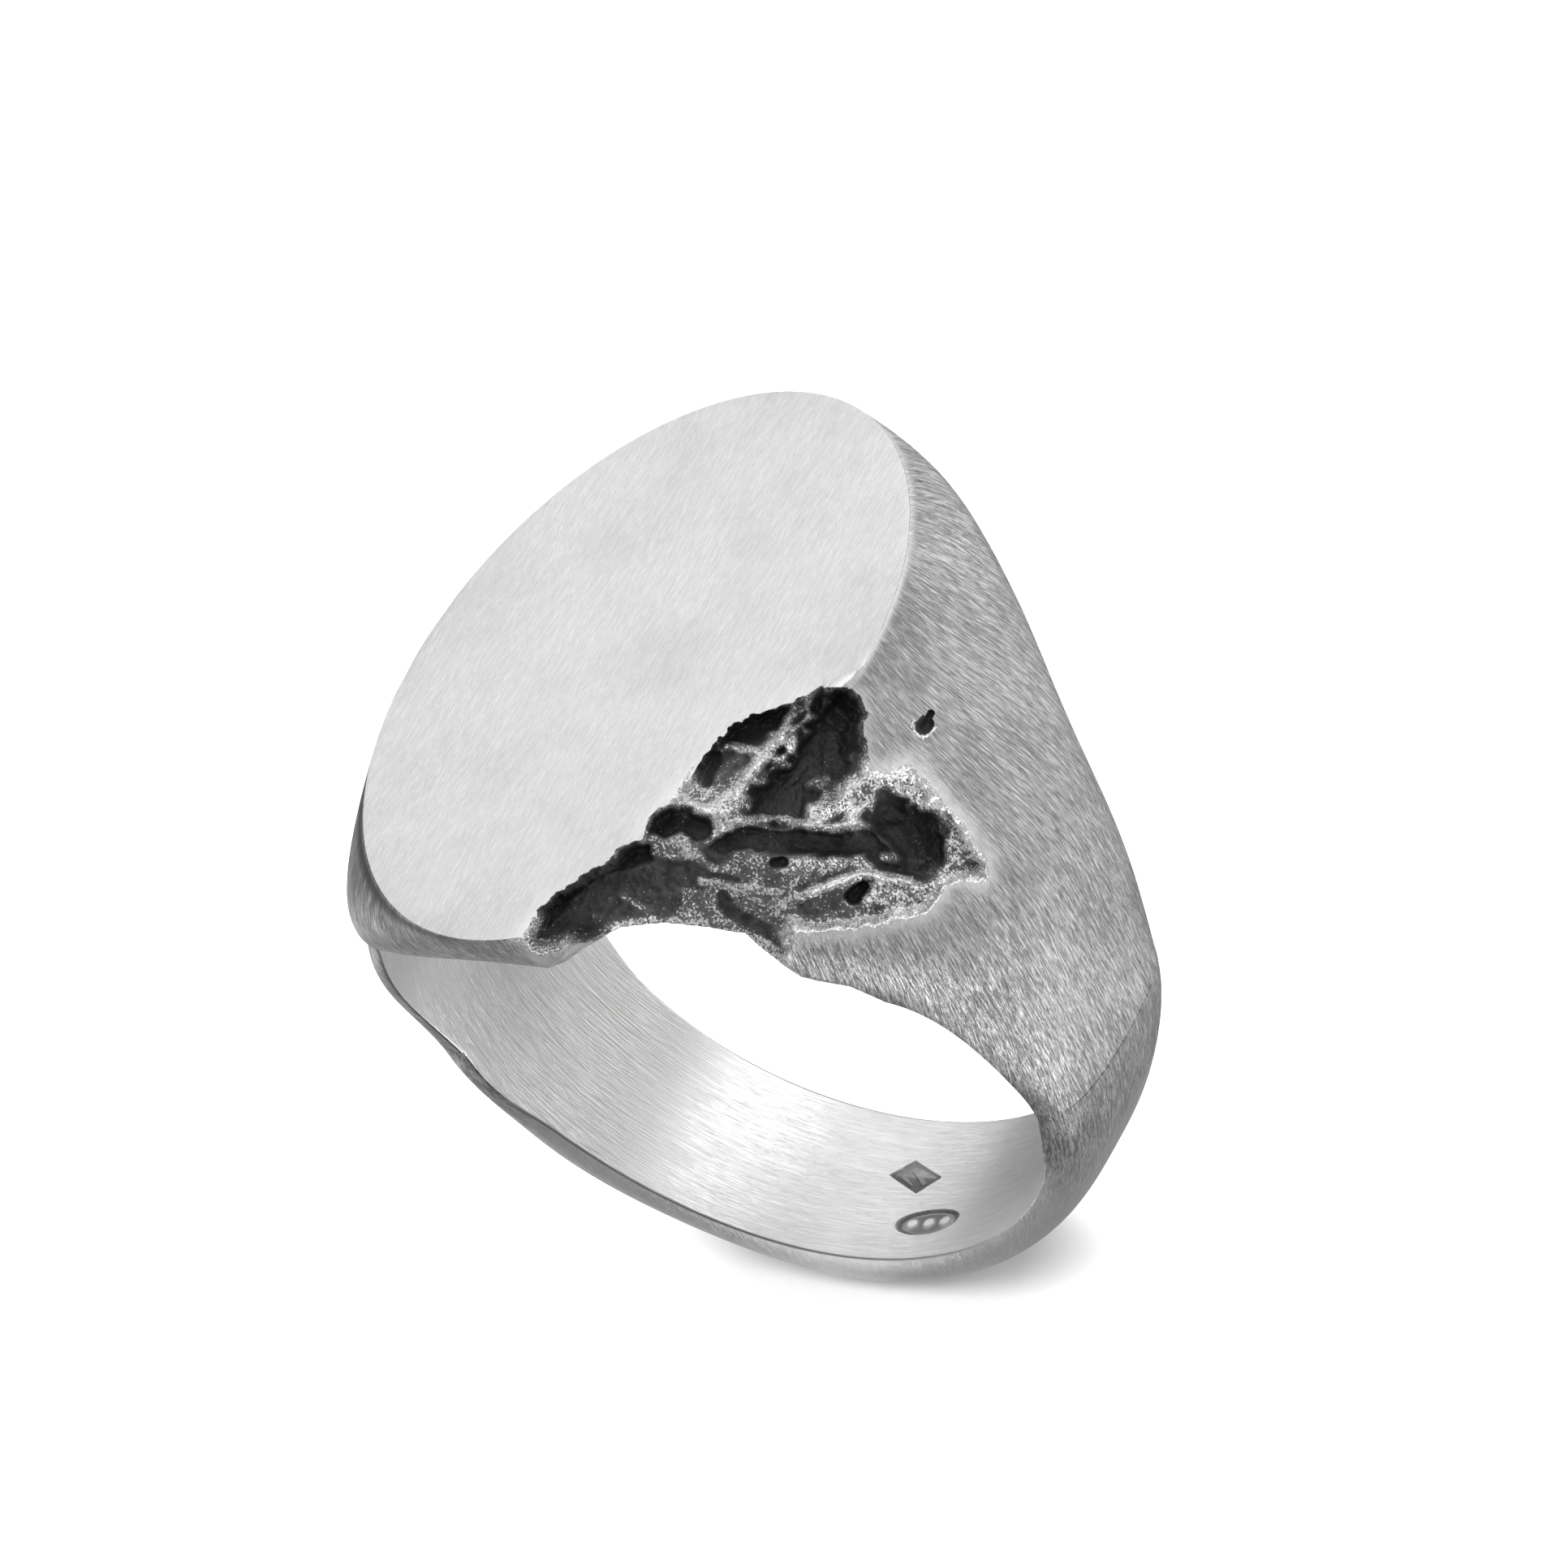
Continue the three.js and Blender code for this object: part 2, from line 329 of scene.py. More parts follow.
bite = {
    # the edge of the bite: right, up, width of the slope down into it, and its brightness, partly wear and
    # partly a painted highlight
    "outline": [
        (-4.6, 0.56, 0.15, 0.2), (-5.0, 0.52, 0.15, 0.2), (-5.5, 0.46, 0.2, 0.4), (-5.85, 0.3, 0.2, 0.7),
        (-6.29, 0.22, 0.3, 0.8), (-6.55, 0.39, 0.4, 0.8), (-6.64, 0.6, 0.5, 0.8), (-6.45, 0.93, 0.4, 0.8),
        (-6.26, 1.38, 0.2, 0.3), (-5.89, 1.83, 0.2, 0.1), (-4.77, 2.43, 0.2, 0.1), (-4.24, 2.88, 0.2, 0.1),
        (-3.59, 3.27, 0.2, 0.1), (-3.31, 3.79, 0.25, 0.5), (-2.97, 3.98, 0.25, 0.4), (-2.75, 4.24, 0.3, 0.9),
        (-2.39, 4.75, 0.3, 0.8), (-2.09, 5.1, 0.2, 0.3), (-1.57, 5.83, 0.2, 0.2), (-1.25, 6.28, 0.2, 0.2),
        (-0.26, 6.62, 0.2, 0.1), (0.77, 6.95, 0.3, 0.5), (1.09, 7.2, 0.25, 0.2), (1.57, 7.31, 0.25, 0.2),
        (1.97, 7.2, 0.3, 0.4), (2.45, 6.6, 0.35, 0.4), (2.38, 6.02, 0.35, 0.3), (2.43, 5.44, 0.4, 0.4),
        (2.53, 5.01, 0.6, 0.8), (3.11, 5.03, 0.8, 0.9), (3.54, 5.14, 0.8, 1.0), (4.17, 4.56, 0.7, 1.0),
        (4.68, 3.94, 0.6, 1.0), (5.2, 3.31, 0.6, 0.9), (5.63, 2.58, 0.5, 0.8), (5.56, 2.13, 0.3, 1.0),
        (4.9, 2.07, 0.4, 1.0), (4.47, 1.92, 0.4, 1.0), (4.17, 1.4, 0.4, 1.0), (3.91, 1.19, 0.35, 1.0),
        (3.11, 1.04, 0.35, 1.0), (2.08, 0.82, 0.35, 1.0), (0.84, 0.78, 0.35, 1.0), (0.41, 0.82, 0.35, 0.8),
        (0.3, 0.3, 0.3, 0.4), (0.21, 0.02, 0.2, 0.4),
        (0.1, -0.3, 0.2, 0.3), (-0.9, 0.3, 0.3, 0.2), (-2.0, 0.5, 0.3, 0.2), (-4.0, 0.5, 0.3, 0.2)],
    # where the bite comes out through the bore
    "boreEdge": [(-7.5, -1.6), (-6.4, -0.5), (-6.1, -0.24), (-5.85, -0.13), (-5.6, -0.04), (-5.06, 0.34),
                 (-4.41, 0.72), (-4.13, 0.86), (-2.97, 0.97), (-1.83, 0.86), (-1.16, 0.73), (-0.88, 0.69),
                 (-0.37, 0.28), (0.21, -0.17), (0.64, -0.45), (1.07, -0.56), (1.95, -0.72), (2.8, -1.1),
                 (6.3, -3.5)],
    "depth": 0.55,                # of the rough floor under the old surface
    "boreSlope": 1.15,            # how fast the metal thickens away from the bore's edge
    "cleanSlope": 11.0,           # the same where the edge is worn smooth beside the rough metal
    "wearReach": 2.2,             # how far the old edges are worn round the bite
    "wearRound": 0.28,            # how far that wear rounds them
    "grain": 0.035,               # height of the crumbly surface
    "grainiest": 0.72,            # brightest the crumbly surface gets
    "bareness": 0.42,             # brightness of the rough metal between the strokes
    "step": 0.037,                # spacing of the finished surface's points
    "spanRight": (-7.5, 6.3),     # the stretch of the plane that the surface covers
    "spanUp": (-2.6, 8.1),
    "viewHeight": 25.0,           # a height above all the metal
    "lowestHead": 8.8,            # metal lower than this is the far side of the band
    "lidHeight": 17.0,            # top of the block that is cut away
    # hollows and ridges: path, half width, depth (ridges are negative), brightness 0 black to 1 bare
    "strokes": {
        "deepHollow": ([(1.89, 6.63), (1.35, 5.76), (0.6, 4.8), (-0.05, 4.15)], 1.05, 1.15, 0.0),
        "deepHollowSide": ([(2.0, 6.2), (1.75, 5.3)], 0.7, 0.35, 0.0),
        "tableHollow": ([(0.38, 6.64), (-0.58, 6.24), (-1.06, 5.98)], 0.6, 0.55, 0.0),
        "lowHollow": ([(-1.01, 5.33), (-1.55, 5.01)], 0.5, 0.3, 0.25),
        "lowHollowEdge": ([(-1.62, 5.33), (-1.9, 4.75)], 0.28, 0.35, 0.0),
        "longRidge": ([(0.99, 7.12), (0.26, 6.39), (0.11, 5.87), (-0.37, 5.36), (-0.78, 4.88),
                       (-1.12, 4.26)], 0.27, -0.4, 0.62),
        "ridgeFoot": ([(-1.12, 4.26), (-1.57, 3.84), (-2.31, 4.11)], 0.42, -0.3, 0.62),
        "smallRidge": ([(-1.31, 5.72), (-0.58, 5.51)], 0.16, -0.25, 0.6),
        "boss": ([(0.88, 4.62), (1.31, 4.69)], 0.3, -0.3, 0.2),
        "cornerHollow": ([(-3.02, 3.5), (-2.52, 3.68), (-2.04, 3.4)], 0.52, 0.75, 0.0),
        "cornerRidge": ([(-3.31, 2.88), (-2.97, 2.69), (-2.45, 2.78)], 0.17, -0.35, 0.7),
        "cornerRidgeEnd": ([(-2.41, 3.14), (-2.37, 2.82), (-1.83, 2.65), (-1.7, 2.37)], 0.18, -0.35, 0.75),
        "edgeHollow": ([(-5.85, 1.3), (-5.2, 1.62), (-4.34, 2.11), (-3.59, 2.6)], 0.75, 0.9, 0.0),
        "edgeHollowEnd": ([(-3.38, 2.11), (-2.62, 2.2), (-2.09, 2.2)], 0.6, 0.55, 0.05),
        "leftFloor": ([(-5.7, 0.85), (-4.7, 1.25), (-3.6, 1.55), (-2.8, 1.6)], 0.62, 0.1, 0.1),
        "slit": ([(-5.55, 0.67), (-4.77, 0.65)], 0.16, 0.45, 0.0),
        "faintRidge": ([(-4.09, 1.66), (-3.42, 1.34)], 0.16, -0.22, 0.35),
        "boreBand": ([(-4.32, 0.93), (-3.27, 1.04), (-1.83, 0.98)], 0.16, -0.05, 0.55),
        "trench": ([(-1.61, 2.86), (-1.23, 3.12), (-0.78, 3.21), (0.41, 3.16), (1.57, 3.08),
                    (2.49, 3.12)], 0.5, 0.75, 0.0),
        "trenchRidge": ([(-1.57, 3.38), (-1.14, 3.62), (-0.41, 3.78), (0.3, 3.68), (1.03, 3.5),
                         (1.97, 3.6)], 0.18, -0.3, 0.58),
        "plateau": ([(1.14, 3.83), (1.89, 4.26), (2.64, 4.69)], 0.6, -0.3, 0.55),
        "plateauEnd": ([(2.1, 3.75), (2.6, 4.1), (3.1, 4.5)], 0.5, -0.3, 0.65),
        "lip": ([(3.2, 4.72), (4.0, 4.15), (4.55, 3.5), (4.95, 2.85), (5.1, 2.45)], 0.5, -0.12, 0.72),
        "shoulderPit": ([(3.05, 3.7), (3.35, 3.2), (4.0, 3.15)], 0.86, 0.95, 0.0),
        "shoulderPitFloor": ([(2.64, 2.9), (3.29, 2.6), (3.9, 2.5)], 0.5, 0.75, 0.0),
        "shoulderPitGleam": ([(2.85, 2.75), (3.1, 2.7)], 0.22, -0.2, 0.4),
        "ledge": ([(-1.06, 2.43), (0.06, 2.11), (1.35, 2.43), (2.1, 2.54)], 0.35, -0.1, 0.35),
        "ledgePit": ([(-0.05, 2.58), (0.15, 2.6)], 0.2, 0.5, 0.0),
        "innerSlit": ([(-1.68, 2.28), (-1.06, 2.13)], 0.12, 0.3, 0.0),
        "lowerRidge": ([(0.21, 1.49), (1.03, 1.85), (1.78, 2.13), (2.25, 2.3), (3.07, 2.17),
                        (3.54, 2.07)], 0.18, -0.4, 0.85),
        "middleRidge": ([(-1.98, 2.07), (-1.21, 1.96), (0.0, 1.81)], 0.18, -0.3, 0.75),
        "lowerSlope": ([(2.6, 1.75), (3.3, 1.6), (3.7, 1.75)], 0.45, -0.1, 0.6),
        "basin": ([(0.38, 1.35), (1.03, 1.42), (1.67, 1.6)], 0.3, 0.12, 0.35),
        "basinPit": ([(2.0, 1.7), (2.25, 1.96)], 0.3, 0.6, 0.0),
        "crack": ([(-1.06, 1.23), (-0.37, 0.86), (0.17, 0.5)], 0.26, 0.5, 0.05),
        "crackTop": ([(-1.44, 1.72), (-1.23, 1.32)], 0.3, 0.45, 0.0),
    },
    # a casting pit in the whole metal beside the bite
    "castingPit": ([(3.91, 6.18), (3.99, 6.26)], 0.23, 0.36, 0.05),
    "castingPitTail": ([(3.98, 6.3), (4.12, 6.56)], 0.11, 0.25, 0.05),
    # the pit's bright rim is a painted highlight, kept to its lower side
    "pitRim": 1.35,               # bright rim of the pit over its half width
}


def latticeNoise(x, y, size, seed):
    # smooth noise between -1 and 1 with hills about one size across
    lattice = np.random.default_rng(seed).uniform(-1, 1, (256, 256))
    u, v = x / size + 97.3, y / size + 61.7
    i, j = np.floor(u).astype(int), np.floor(v).astype(int)
    a, b = u - i, v - j
    a, b = a * a * (3 - 2 * a), b * b * (3 - 2 * b)

    def corner(p, q):
        return lattice[(i + p) % 256, (j + q) % 256]

    low = corner(0, 0) * (1 - a) + corner(1, 0) * a
    high = corner(0, 1) * (1 - a) + corner(1, 1) * a
    return low * (1 - b) + high * b


def pathDistance(x, y, path):
    # distance to a path, and how far along its nearest stretch that is, counted in points
    nearest = np.full(x.shape, np.inf)
    along = np.zeros(x.shape)
    for i in range(len(path) - 1):
        (x0, y0), (x1, y1) = path[i][:2], path[i + 1][:2]
        dx, dy = x1 - x0, y1 - y0
        t = np.clip(((x - x0) * dx + (y - y0) * dy) / max(dx * dx + dy * dy, 1e-9), 0, 1)
        distance = np.hypot(x - x0 - t * dx, y - y0 - t * dy)
        closer = distance < nearest
        nearest = np.where(closer, distance, nearest)
        along = np.where(closer, i + t, along)
    return nearest, along


def insideOutline(x, y, outline):
    inside = np.zeros(x.shape, bool)
    for i in range(len(outline)):
        (x0, y0), (x1, y1) = outline[i][:2], outline[i - 1][:2]
        crosses = ((y0 > y) != (y1 > y)) & (x < (x1 - x0) * (y - y0) / (y1 - y0 + 1e-12) + x0)
        inside ^= crosses
    return inside


def blurred(field, radius):
    reach = int(3 * radius) + 1
    weights = np.exp(-0.5 * (np.arange(-reach, reach + 1) / radius) ** 2)
    weights /= weights.sum()
    for axis in (0, 1):
        padded = np.pad(field, [(reach, reach) if a == axis else (0, 0) for a in (0, 1)], mode="edge")
        field = sum(w * np.take(padded, range(k, k + field.shape[axis]), axis=axis)
                    for k, w in enumerate(weights))
    return field


def filled(field):
    # gives every empty point the mean of its filled neighbours, from the edges inwards
    while np.isnan(field).any():
        padded = np.pad(field, 1, constant_values=np.nan)
        around = np.stack([padded[1:-1, :-2], padded[1:-1, 2:], padded[:-2, 1:-1], padded[2:, 1:-1]])
        known = ~np.isnan(around)
        mean = np.where(known, around, 0).sum(0) / np.maximum(known.sum(0), 1)
        field = np.where(np.isnan(field) & known.any(0), mean, field)
    return field


def uncutHeight(blank, right, up):
    # height of the whole head over the grid, carried on smoothly past its outline
    tree = BVHTree.FromObject(blank, bpy.context.evaluated_depsgraph_get())
    centre = np.array([0.0, 0.0, boreHeight])
    old = np.full((len(right), len(up)), np.nan)
    start = bite["viewHeight"]
    direction = Vector(-faceBack)
    for i in range(len(right)):
        for j in range(len(up)):
            origin = centre + faceRight * right[i] + faceUp * up[j] + faceBack * start
            hit = tree.ray_cast(Vector(origin), direction)
            if hit[0] is not None and start - hit[3] > bite["lowestHead"]:
                old[i, j] = start - hit[3]
    return filled(old)


def boreTopHeight(x, y):
    # height of the bore's own surface under the metal
    acrossRight, acrossUp, acrossBack = faceRight[[0, 2]], faceUp[[0, 2]], faceBack[[0, 2]]
    px = x * acrossRight[0] + y * acrossUp[0]
    pz = x * acrossRight[1] + y * acrossUp[1]
    a = (acrossBack**2).sum()
    b = px * acrossBack[0] + pz * acrossBack[1]
    c = px**2 + pz**2 - band["boreRadius"] ** 2
    return (-b + np.sqrt(np.maximum(b * b - a * c, 0))) / a


def strokeRelief(x, y):
    # depth of the hollows, height of the ridges (negative) and brightness of the rough metal
    hollows, ridges = np.zeros(x.shape), np.zeros(x.shape)
    shine = np.full(x.shape, bite["bareness"])
    wobble = 1 + 0.34 * latticeNoise(x, y, 0.6, 11) + 0.2 * latticeNoise(x, y, 0.22, 12)
    for path, halfWidth, depth, bright in bite["strokes"].values():
        near = np.clip(pathDistance(x, y, path)[0] / (halfWidth * wobble), 0, 1)
        swell = (1 - near**2) ** 2 if depth < 0 else 1 - smoothStep(0.35, 1.0, near)
        hollows = np.maximum(hollows, depth * swell)
        ridges = np.minimum(ridges, depth * swell)
        weight = np.clip(swell * 1.6, 0, 1)
        shine = shine * (1 - weight) + bright * weight
    shine = shine * (1 + 0.3 * latticeNoise(x, y, 0.4, 13) + 0.25 * latticeNoise(x, y, 0.17, 14))
    return hollows, ridges, np.minimum(shine, bite["grainiest"])


def addCastingPit(x, y, cut, shine):
    for path, halfWidth, depth, bright in (bite["castingPit"], bite["castingPitTail"]):
        near = pathDistance(x, y, path)[0] / halfWidth
        cut = np.maximum(cut, depth * (1 - near**2) * np.where(near < 1, 1, 2))
        shine = np.where(near < 1.1, bright, shine)
    # a painted highlight on the pit's lower rim, as bare bright metal
    path, halfWidth = bite["castingPit"][:2]
    rim = pathDistance(x, y, path)[0] / halfWidth
    rim = (rim > 0.95) & (rim < bite["pitRim"]) & (y < path[1][1])
    return np.where(rim, np.maximum(cut, 0.015), cut), np.where(rim, 1.3, shine)


def biteSurface(blank):
    # height of the cut metal and its brightness over a grid that faces the viewer
    step = bite["step"]
    right = np.arange(*bite["spanRight"], step)
    up = np.arange(*bite["spanUp"], step)
    x, y = np.meshgrid(right, up, indexing="ij")
    old = uncutHeight(blank, right, up)
    boreTop = boreTopHeight(x, y)

    # how far inside the bite's edge each point is
    outline = bite["outline"]
    loop = outline + outline[:1]
    distance, along = pathDistance(x, y, loop)
    inside = insideOutline(x, y, outline)
    places = np.arange(len(loop))
    slopeWidth = np.interp(along, places, [p[2] for p in loop])
    # the edge's brightness: wear, raised where it stands for a painted highlight
    edgeShine = np.interp(along, places, [p[3] for p in loop])
    edge = np.where(inside, distance, -distance)
    for size, scale in ((0.04, 0.1), (0.06, 0.22), (0.08, 0.55)):
        edge = edge + size * latticeNoise(x, y, scale, 3)

    # and how far above the edge where it meets the bore
    boreGap, _ = pathDistance(x, y, bite["boreEdge"])
    boreLine = np.interp(x, [p[0] for p in bite["boreEdge"]], [p[1] for p in bite["boreEdge"]])
    boreGap = np.where(y > boreLine, boreGap, -boreGap)

    # the rough floor
    hollows, ridges, shine = strokeRelief(x, y)
    lumps = 0.10 * latticeNoise(x, y, 0.6, 21) + 0.06 * latticeNoise(x, y, 0.28, 22)
    grain = bite["grain"] * (latticeNoise(x, y, 0.13, 23) + 0.7 * latticeNoise(x, y, 0.075, 24))
    floorHeight = blurred(old, 0.7 / step) - bite["depth"] - hollows - ridges + lumps + grain
    aboveBore = boreTop + bite["boreSlope"] * boreGap + 0.5 * lumps + grain * np.clip(boreGap * 4, 0, 1)
    floorHeight = np.minimum(floorHeight, aboveBore)
    depthBelow = np.maximum(old - floorHeight, 0.12)

    # the slope down into it, and the wear of the old edges round it
    ramp = np.clip(edge / slopeWidth, 0, 1)
    steep, eased = ramp * (2 - ramp), ramp * ramp * (3 - 2 * ramp)
    ramp = steep + (eased - steep) * edgeShine
    cut = np.where(edge > 0, ramp * depthBelow, 0.8 * edge)
    worn = (old - blurred(old, bite["wearRound"] / step)) * hill(np.minimum(edge, 0), 0, bite["wearReach"])
    worn = worn * smoothStep(7.9, 6.9, y) * smoothStep(-3.5, -1.0, x) * smoothStep(6.1, 5.4, x)
    cut = np.maximum(cut, np.where(worn > 0.004, worn, -1))
    cut, shine = addCastingPit(x, y, cut, shine)
    height = old - np.maximum(cut, -0.6)
    height = np.where(boreGap < 0.5, np.minimum(height, boreTop + bite["cleanSlope"] * boreGap), height)

    # bright along the rim, partly worn bare metal and partly a painted highlight; dark where the metal is
    # recessed
    rim = hill(np.maximum(edge, 0), 0, 0.12 + 0.26 * edgeShine) * edgeShine * 1.45
    recess = blurred(height, 0.22 / step) - height
    shine = shine - np.where(inside, np.clip(1.4 * recess, -0.14, 1), 0)
    shine = np.clip(np.maximum(shine, np.where(edge > 0, rim, 0)), 0, 1.4)
    return right, up, height, shine, edge


def makeCutter(name, surface, lid):
    # a closed block between a grid of points, (columns, rows, 3), and the four corners of its lid
    columns, rows = surface.shape[:2]
    points = np.concatenate([surface.reshape(-1, 3), lid])
    index = np.arange(columns * rows).reshape(columns, rows)
    quads = np.stack([index[:-1, :-1], index[:-1, 1:], index[1:, 1:], index[1:, :-1]], axis=-1)
    first = columns * rows
    faces = quads.reshape(-1, 4).tolist()
    for k, side in enumerate((index[:, 0], index[-1, :], index[::-1, -1], index[0, ::-1])):
        faces.append(side.tolist() + [first + (k + 1) % 4, first + k])
    faces.append([first, first + 1, first + 2, first + 3])
    data = bpy.data.meshes.new(name)
    data.from_pydata(points.tolist(), [], faces)
    mesh = bmesh.new()
    mesh.from_mesh(data)
    bmesh.ops.triangulate(mesh, faces=mesh.faces)
    faceOutwards(mesh)
    mesh.to_mesh(data)
    mesh.free()
    return placeObject(name, data)


def makeBiteCutter(right, up, height):
    # everything in front of the cut surface
    x, y = np.meshgrid(right, up, indexing="ij")
    centre = np.array([0.0, 0.0, boreHeight])
    flat = centre + x[..., None] * faceRight + y[..., None] * faceUp
    lid = (flat + bite["lidHeight"] * faceBack)[[0, -1, -1, 0], [0, 0, -1, -1]]
    return makeCutter("biteCutter", flat + height[..., None] * faceBack, lid)


def settle(piece, modifier):
    # makes the modifier's result the piece's own plain mesh
    graph = bpy.context.evaluated_depsgraph_get()
    result = bpy.data.meshes.new_from_object(piece.evaluated_get(graph))
    piece.modifiers.remove(modifier)
    old = piece.data
    piece.data = result
    bpy.data.meshes.remove(old)


def cutAway(piece, cutter):
    # takes the cutter's shape out of the piece
    modifier = piece.modifiers.new("cut", "BOOLEAN")
    modifier.operation = "DIFFERENCE"
    modifier.solver = "MANIFOLD"
    modifier.object = cutter
    settle(piece, modifier)
    bpy.data.objects.remove(cutter)


# Two plain punched marks inside the band
marks = {
    "step": 0.035,                # spacing of the marks' points
    "spanRound": (-0.6, 3.6),     # the stretch of the bore that holds them, in millimetres
    "spanAlong": (-2.0, 1.4),
    "depth": 0.11,
    "clearance": 0.15,            # how far their cutter stays off the rest of the bore
    # middle (degrees round the bore, along the finger), half axes in millimetres round and along
    "lozenge": ((4.0, 0.48), (0.92, 0.02), (-0.32, 0.64)),
    "oval": ((12.0, -1.25), (1.15, 0.05), (-0.03, 0.5)),
    "dots": [-0.5, 0.0, 0.5],
}


def markDepth(around, along):
    # how deep the punches go in, at places in millimetres round the bore and along the finger
    depth = np.full(around.shape, -marks["clearance"])

    def ownAxes(name):
        (degrees, middle), first, second = marks[name]
        a, b = around - math.radians(degrees) * band["boreRadius"], along - middle
        turn = first[0] * second[1] - first[1] * second[0]
        return (a * second[1] - b * second[0]) / turn, (b * first[0] - a * first[1]) / turn

    u, v = ownAxes("lozenge")
    reach = np.abs(u) + np.abs(v)
    hatch = smoothStep(0.2, 0.5, np.sin(11 * u + 5 * v)) * smoothStep(0.7, 0.55, reach)
    sunk = marks["depth"] * (smoothStep(1.0, 0.84, reach) - 0.6 * hatch)
    depth = np.where(reach < 1, np.maximum(sunk, 0.004), depth)
    u, v = ownAxes("oval")
    reach = np.hypot(u, v)
    groove = smoothStep(1.0, 0.9, reach) - 0.6 * smoothStep(0.86, 0.76, reach)
    dots = sum(smoothStep(0.22, 0.12, np.hypot(u - place, v * 0.45)) for place in marks["dots"])
    sunk = marks["depth"] * (groove + 0.3 * smoothStep(0.76, 0.66, reach) - 0.65 * dots)
    return np.where(reach < 1, np.maximum(sunk, 0.004), depth)


def makeMarkCutter():
    around = np.arange(*marks["spanRound"], marks["step"])
    along = np.arange(*marks["spanAlong"], marks["step"])
    a, y = np.meshgrid(around, along, indexing="ij")
    radius = band["boreRadius"] + markDepth(a, y)
    angle = a / band["boreRadius"]

    def placed(r):
        return np.stack([r * np.sin(angle), y, boreHeight - r * np.cos(angle)], axis=-1)

    lid = placed(np.full_like(radius, band["boreRadius"] - 1.0))[[0, -1, -1, 0], [0, 0, -1, -1]]
    return makeCutter("markCutter", placed(radius), lid)


finishes = {
    "silver": (0.93, 0.93, 0.925, 1),
    "silverShade": (0.26, 0.26, 0.257, 1),
    # colour of the painted shade
    "paintedShade": (0.12, 0.12, 0.12, 1),
    "tarnish": (0.010, 0.010, 0.010, 1),
    "greyOxide": (0.10, 0.10, 0.10, 1),
    "bareGrain": (0.93, 0.93, 0.92, 1),
    "tableRoughness": 0.42,
    "flankRoughness": 0.40,
    "boreRoughness": 0.34,
    "biteRoughness": 0.45,
    "grainRoughness": 0.32,
}


def newGroup(name, inputs, outputs):
    group = bpy.data.node_groups.new(name, "ShaderNodeTree")
    for label, kind, default in inputs:
        socket = group.interface.new_socket(name=label, in_out="INPUT", socket_type=kind)
        if default is not None:
            socket.default_value = default
    for label, kind in outputs:
        group.interface.new_socket(name=label, in_out="OUTPUT", socket_type=kind)
    return group, group.nodes.new("NodeGroupInput"), group.nodes.new("NodeGroupOutput")


def addNode(tree, kind, **settings):
    node = tree.nodes.new(kind)
    for key, value in settings.items():
        setattr(node, key, value)
    return node


def feed(tree, value, socket):
    # a constant is set on the socket itself, and an output is linked to it
    if isinstance(value, (int, float, tuple)):
        socket.default_value = value
    else:
        tree.links.new(value, socket)


def mathNode(tree, operation, *values):
    node = addNode(tree, "ShaderNodeMath", operation=operation)
    for value, socket in zip(values, node.inputs):
        feed(tree, value, socket)
    return node.outputs[0]


def plus(tree, first, second):
    return mathNode(tree, "ADD", first, second)


def minus(tree, first, second):
    return mathNode(tree, "SUBTRACT", first, second)


def times(tree, first, second):
    return mathNode(tree, "MULTIPLY", first, second)


def mixColours(tree, factor, first, second):
    node = addNode(tree, "ShaderNodeMix", data_type="RGBA")
    for label, value in (("Factor", factor), ("A", first), ("B", second)):
        feed(tree, value, node.inputs[label])
    return node.outputs["Result"]


def noiseNode(tree, vector, scale, detail=2.0, roughness=0.5):
    node = addNode(tree, "ShaderNodeTexNoise", noise_dimensions="3D")
    for label, value in (("Vector", vector), ("Scale", scale), ("Detail", detail), ("Roughness", roughness)):
        feed(tree, value, node.inputs[label])
    return node.outputs["Fac"]


def pointValue(tree, name):
    return addNode(tree, "ShaderNodeAttribute", attribute_name=name).outputs["Fac"]


def addBump(tree, shader, height, distance):
    bump = addNode(tree, "ShaderNodeBump")
    bump.inputs["Strength"].default_value = 1.0
    bump.inputs["Distance"].default_value = distance
    tree.links.new(height, bump.inputs["Height"])
    tree.links.new(bump.outputs[0], shader.inputs["Normal"])


def strokesGroup():
    # strokes of an abrasive: a pattern that is already stretched along the strokes goes in, and
    # their height, a streak mask and a slow cloudiness come out
    group, start, end = newGroup(
        "abrasiveStrokes",
        [("Strokes", "NodeSocketVector", None), ("Place", "NodeSocketVector", None),
         ("Stroke Scale", "NodeSocketFloat", 9000.0), ("Cloud Scale", "NodeSocketFloat", 350.0)],
        [("Height", "NodeSocketFloat"), ("Streak", "NodeSocketFloat"), ("Cloud", "NodeSocketFloat")])
    strokes, place, scale = (start.outputs[label] for label in ("Strokes", "Place", "Stroke Scale"))
    broad = noiseNode(group, strokes, scale, 1.0)
    fine = noiseNode(group, strokes, times(group, scale, 2.7), 2.0, 0.6)
    rare = noiseNode(group, strokes, times(group, scale, 0.9), 3.0, 0.7)
    offMiddle = mathNode(group, "ABSOLUTE", times(group, minus(group, rare, 0.5), 6.0))
    scratch = mathNode(group, "POWER", minus(group, 1.0, offMiddle), 3.0)
    scratch = mathNode(group, "MAXIMUM", scratch, 0.0)
    mixed = plus(group, times(group, broad, 0.45), times(group, fine, 0.55))
    group.links.new(minus(group, mixed, times(group, scratch, 0.25)), end.inputs["Height"])
    streak = addNode(group, "ShaderNodeMapRange")
    streak.inputs["From Min"].default_value = 0.36
    streak.inputs["From Max"].default_value = 0.64
    group.links.new(minus(group, mixed, times(group, scratch, 0.1)), streak.inputs["Value"])
    group.links.new(streak.outputs[0], end.inputs["Streak"])
    cloud = noiseNode(group, place, start.outputs["Cloud Scale"], 4.0, 0.6)
    group.links.new(cloud, end.inputs["Cloud"])
    return group


abrasiveStrokes = strokesGroup()


